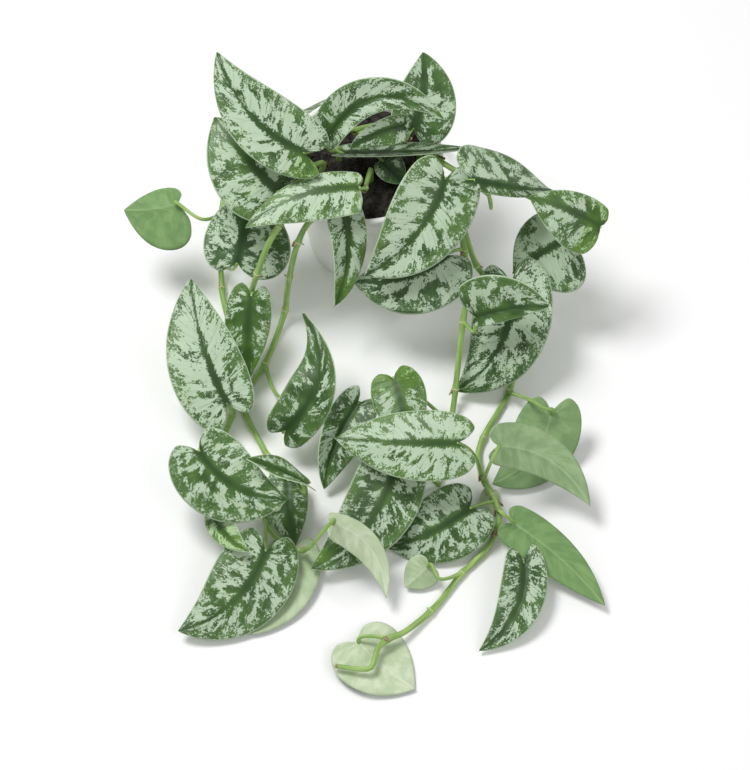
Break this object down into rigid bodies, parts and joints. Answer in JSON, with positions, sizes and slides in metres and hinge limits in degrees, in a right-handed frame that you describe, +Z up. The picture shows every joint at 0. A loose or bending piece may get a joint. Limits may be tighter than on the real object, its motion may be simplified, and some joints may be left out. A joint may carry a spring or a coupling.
{
  "type": "satin pothos plant",
  "caption": "Satin pothos in a small plain pot: silver-marked heart-shaped leaves on trailing stems that spill over the rim and lie forward along the surface.",
  "frame": {"origin": "centre of the pot's flat foot, on the surface that it stands on", "axes": "+Z up along the pot's axis, -Y the way the vines trail, +X to the right seen from the vines' side"},
  "size_m": [0.3373, 0.4825, 0.1797],
  "materials": {
    "leaf_green": "satin leaf, green with silver patches",
    "leaf_silver": "satin leaf, mostly silver",
    "leaf_dark": "satin leaf, dark bluish green with silver patches",
    "leaf_pale": "pale underside of a leaf",
    "stem_green": "smooth pale green stem",
    "white_glaze": "plain white glaze",
    "dark_soil": "crumbly dark potting soil"
  },
  "bodies": {
    "root": {"leaf_back_left": "leaf_green", "leaf_back_middle": "leaf_green", "leaf_bottom_left_behind": "leaf_pale", "leaf_bottom_left_large": "leaf_green", "leaf_centre_across": "leaf_silver", "leaf_centre_left_folded": "leaf_green", "leaf_centre_low_large": "leaf_green", "leaf_centre_low_right": "leaf_green", "leaf_centre_right_large": "leaf_silver", "leaf_centre_right_under": "leaf_dark", "leaf_centre_top": "leaf_green", "leaf_crown_edge_on": "leaf_silver", "leaf_crown_inner_right": "leaf_dark", "leaf_crown_left_large": "leaf_silver", "leaf_crown_left_round": "leaf_green", "leaf_crown_right": "leaf_green", "leaf_crown_small_pale": "leaf_pale", "leaf_crown_top": "leaf_silver", "leaf_far_left_small": "leaf_pale", "leaf_far_right": "leaf_green", "leaf_far_right_under": "leaf_silver", "leaf_folded_pale": "leaf_pale", "leaf_front_hanging": "leaf_green", "leaf_front_long": "leaf_silver", "leaf_left_behind": "leaf_green", "leaf_left_large": "leaf_silver", "leaf_left_under": "leaf_dark", "leaf_low_small_pale": "leaf_pale", "leaf_lower_left_dull": "leaf_dark", "leaf_lower_left_round": "leaf_green", "leaf_lower_left_small_edge_on": "leaf_green", "leaf_lower_left_small_pale": "leaf_pale", "leaf_lower_right_small": "leaf_green", "leaf_lower_right_underside": "leaf_pale", "leaf_lowest_pale": "leaf_pale", "leaf_middle_curved": "leaf_dark", "leaf_right_large_round": "leaf_green", "leaf_right_sliver": "leaf_pale", "leaf_right_small_folded": "leaf_dark", "leaf_right_top": "leaf_green", "leaf_right_underside_front": "leaf_pale", "leaf_right_underside_low": "leaf_pale", "pot": "white_glaze", "soil": "dark_soil", "stem_back": "stem_green", "stem_crown_front": "stem_green", "stem_crown_left": "stem_green", "stem_crown_right": "stem_green", "stem_crown_top": "stem_green", "stem_far_right": "stem_green", "stem_left_front": "stem_green", "stem_left_inner": "stem_green", "stem_left_outer": "stem_green", "stem_right": "stem_green", "stem_right_outer": "stem_green"}
  },
  "joints": []
}
